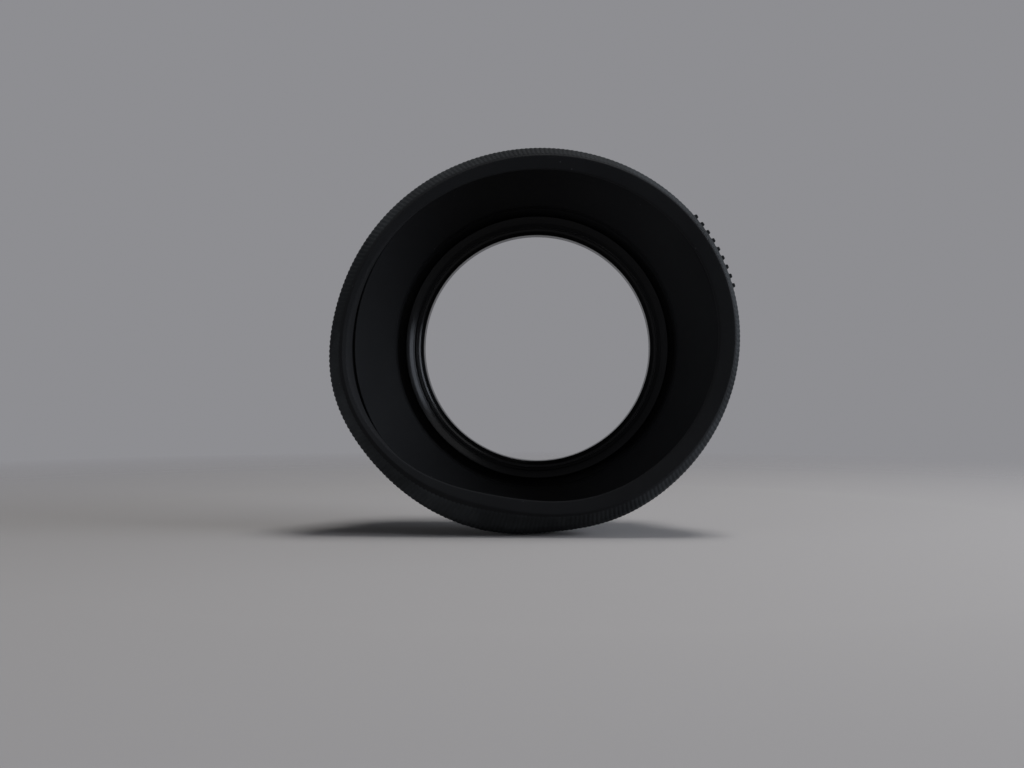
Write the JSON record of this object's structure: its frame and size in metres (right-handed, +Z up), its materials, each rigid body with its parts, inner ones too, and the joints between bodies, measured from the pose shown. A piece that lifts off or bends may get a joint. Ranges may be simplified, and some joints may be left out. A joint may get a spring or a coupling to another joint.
{
  "type": "lens hood",
  "caption": "Round collapsible rubber lens hood: a flared skirt with a ribbed front rim, folding back over a black metal ring threaded front and rear.",
  "frame": {"origin": "centre of the metal shoulder that seats against the lens, on the optical axis, where the lens thread begins", "axes": "+Y along the optical axis towards the lens, so the mouth of the hood faces -Y; +Z up; +X along the long axis of the mouth to within 12 degrees"},
  "size_m": [0.0808, 0.0294, 0.0768],
  "materials": {
    "mount_metal": "black anodised, satin",
    "bead_metal": "black anodised, semi-gloss",
    "rubber_body": "matt black moulded rubber",
    "rubber_rim": "matt black moulded rubber with fine ribs, slightly dusty",
    "rubber_marks": "matt black moulded rubber"
  },
  "bodies": {
    "mount": {"mount_ring": "mount_metal", "retaining_ring": "bead_metal"},
    "hood": {"rubber_collar": "rubber_body", "fold_cone": "rubber_body"},
    "lip": {"lip_skirt": "rubber_body", "front_rim": "rubber_rim", "index_marks": "rubber_marks"}
  },
  "joints": [
    {"name": "hood_turn", "type": "hinge", "parent": "mount", "child": "hood", "pos_m": [0, -0.002, 0], "axis": [0, 1, 0], "continuous": true},
    {"name": "lip_fold", "type": "slide", "parent": "hood", "child": "lip", "axis": [0, 1, 0], "range_m": [0, 0.021], "deforming": ["fold_cone"]}
  ]
}
